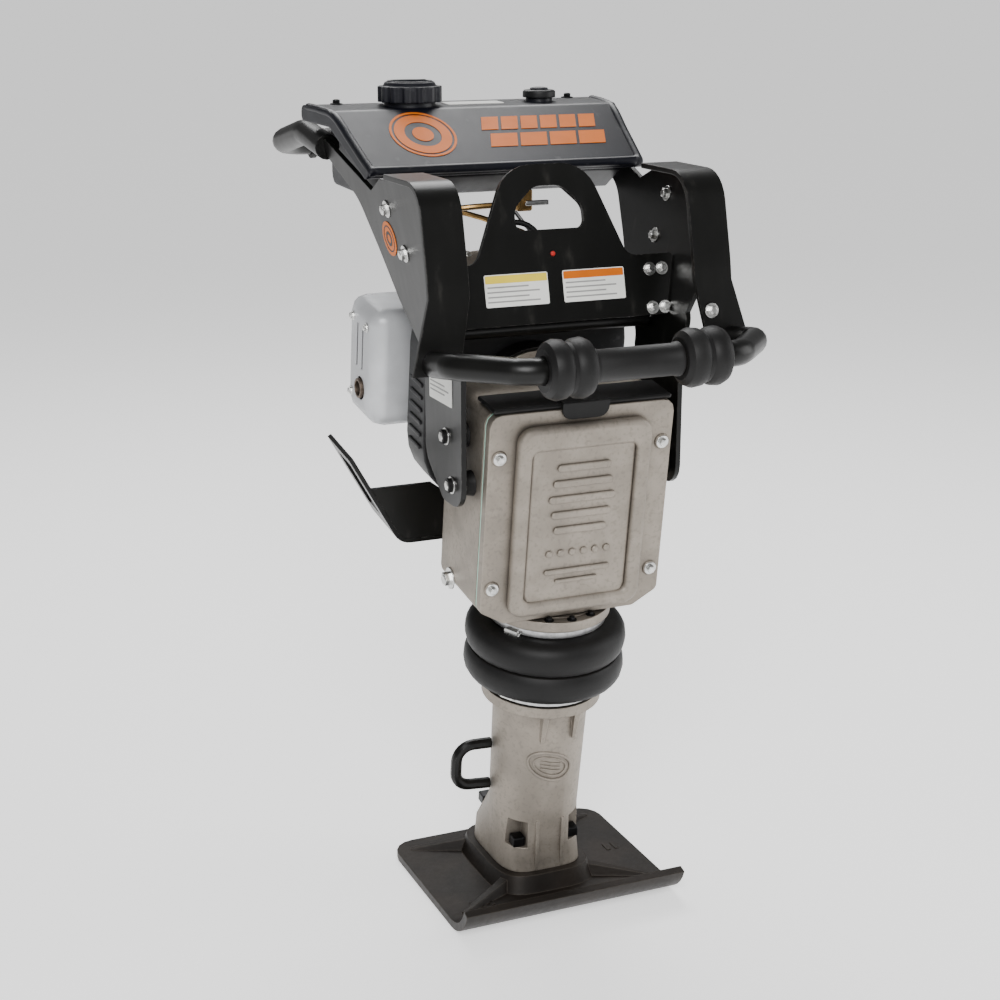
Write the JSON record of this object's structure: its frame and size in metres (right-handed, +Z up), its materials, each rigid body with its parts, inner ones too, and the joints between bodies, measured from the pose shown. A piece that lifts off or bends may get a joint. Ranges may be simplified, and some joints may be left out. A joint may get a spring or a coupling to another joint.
{
  "type": "jumping jack rammer",
  "caption": "Upright tamping rammer: spring leg on a curled shoe, cast crankcase, petrol engine and a black lifting frame with tank and roller bar.",
  "frame": {"origin": "centre line of the machine on the flat sole of the shoe", "axes": "+Z up along the machine's height, -Y towards the curled toe of the shoe, +X to the right of a viewer who faces the toe"},
  "size_m": [0.4044, 0.713, 0.9436],
  "materials": {
    "cast_aluminium": "as cast",
    "cast_iron": "painted casting",
    "black_paint": "satin",
    "black_plastic": "satin",
    "rubber": "matte",
    "steel": "machined",
    "spring_steel": "drawn",
    "silver_paint": "satin",
    "brass": "satin",
    "red_plastic": "gloss"
  },
  "bodies": {
    "leg": {"shoe_plate": "cast_iron", "shoe_bolt_front_left": "black_paint", "shoe_bolt_front_right": "black_paint", "shoe_bolt_rear_left": "black_paint", "shoe_bolt_rear_right": "black_paint", "leg_casting": "cast_aluminium", "leg_grab_handle": "black_paint", "lower_spring": "spring_steel", "upper_spring": "spring_steel", "spring_seat_ring": "steel", "bellows": "rubber", "bellows_clamp_lower": "steel"},
    "piston": {"piston_rod": "steel", "spring_piston": "steel"},
    "crankcase_group": {"bellows_clamp_upper": "steel", "guide_cylinder": "cast_aluminium", "crankcase": "cast_aluminium", "cover_gasket": "rubber", "front_cover": "cast_aluminium", "top_pad": "rubber", "engine_block": "cast_aluminium", "fan_housing": "black_plastic", "engine_cylinder": "cast_aluminium", "spark_plug_cap": "rubber", "muffler": "spring_steel", "muffler_guard": "silver_paint", "carburettor": "cast_aluminium", "air_cleaner": "black_plastic", "starter_cover": "black_plastic", "starter_grip": "black_plastic", "stop_switch": "red_plastic", "engine_cradle": "black_paint"},
    "crank": {"crank_gear": "steel"},
    "con_rod": {"connecting_rod": "steel", "wrist_pin": "steel"},
    "clutch_drum": {"clutch_pinion": "steel"},
    "engine_shaft": {"engine_crankshaft": "steel"},
    "lifting_frame": {"side_plate_left": "black_paint", "side_plate_right": "black_paint", "arm_band_left": "black_paint", "arm_band_right": "black_paint", "front_bar": "black_paint", "lift_plate": "black_paint", "cross_tube": "black_paint", "shock_mount_upper_left": "rubber", "shock_mount_upper_right": "rubber", "shock_mount_lower_left": "rubber", "shock_mount_lower_right": "rubber", "fuel_tank": "black_plastic", "tank_vent_cap": "black_plastic", "fuel_valve": "brass", "rear_handle": "black_paint", "throttle_clamp": "black_plastic", "throttle_cable": "rubber", "fuel_hose": "brass"},
    "roller_left_body": {"roller_left": "black_plastic"},
    "roller_right_body": {"roller_right": "black_plastic"},
    "fuel_cap_body": {"fuel_cap": "black_plastic"},
    "fuel_valve_lever_body": {"fuel_valve_lever": "steel"},
    "throttle_lever_body": {"throttle_lever": "steel"}
  },
  "joints": [
    {"name": "spring_travel", "type": "slide", "parent": "leg", "child": "piston", "axis": [0, -0.1392, 0.9903], "range_m": [-0.012, 0.012], "stiffness_N_per_m": 30000, "springref_m": 0.0005, "deforming": ["lower_spring", "upper_spring"]},
    {"name": "ram_stroke", "type": "slide", "parent": "leg", "child": "crankcase_group", "axis": [0, -0.1392, 0.9903], "range_m": [-0.012, 0.052], "stiffness_N_per_m": 30000, "springref_m": 0.01657, "deforming": ["bellows"]},
    {"name": "crank_turn", "type": "hinge", "parent": "crankcase_group", "child": "crank", "pos_m": [0, -0.0352, 0.50089], "axis": [0, 0.9903, 0.1392], "continuous": true},
    {"name": "con_rod_swing", "type": "hinge", "parent": "crank", "child": "con_rod", "pos_m": [0, -0.05222, 0.4783], "axis": [0, 0.9903, 0.1392], "continuous": true},
    {"name": "clutch_drum_turn", "type": "hinge", "parent": "crankcase_group", "child": "clutch_drum", "pos_m": [0, -0.04364, 0.58251], "axis": [0, 0.9903, 0.1392], "continuous": true},
    {"name": "engine_shaft_turn", "type": "hinge", "parent": "crankcase_group", "child": "engine_shaft", "pos_m": [0, 0.08212, 0.60018], "axis": [0, 0.9903, 0.1392], "continuous": true},
    {"name": "frame_rock", "type": "hinge", "parent": "crankcase_group", "child": "lifting_frame", "pos_m": [0, -0.0675, 0.555], "axis": [1, 0, 0], "range_deg": [-2, 2], "stiffness_Nm_per_rad": 4000, "springref_deg": 0.39, "deforming": ["shock_mount_upper_left", "shock_mount_upper_right", "shock_mount_lower_left", "shock_mount_lower_right", "fuel_hose", "throttle_cable"]},
    {"name": "roller_left_turn", "type": "hinge", "parent": "lifting_frame", "child": "roller_left_body", "pos_m": [-0.0763, -0.244, 0.689], "axis": [1, 0, 0], "continuous": true},
    {"name": "roller_right_turn", "type": "hinge", "parent": "lifting_frame", "child": "roller_right_body", "pos_m": [0.0763, -0.244, 0.689], "axis": [1, 0, 0], "continuous": true},
    {"name": "fuel_cap_turn", "type": "hinge", "parent": "lifting_frame", "child": "fuel_cap_body", "pos_m": [-0.07, 0.207, 0.92], "axis": [0, 0, 1], "range_deg": [0, 90]},
    {"name": "fuel_valve_turn", "type": "hinge", "parent": "lifting_frame", "child": "fuel_valve_lever_body", "pos_m": [0.034, 0.11, 0.8035], "axis": [0, 1, 0], "range_deg": [0, 90]},
    {"name": "throttle_turn", "type": "hinge", "parent": "lifting_frame", "child": "throttle_lever_body", "pos_m": [0.09, 0.417, 0.88], "axis": [0, 0, -1], "range_deg": [0, 50]}
  ],
  "couplings": [
    {"joint": "clutch_drum_turn", "follows": "crank_turn", "ratio": -4},
    {"joint": "con_rod_swing", "follows": "crank_turn", "ratio": -1}
  ]
}
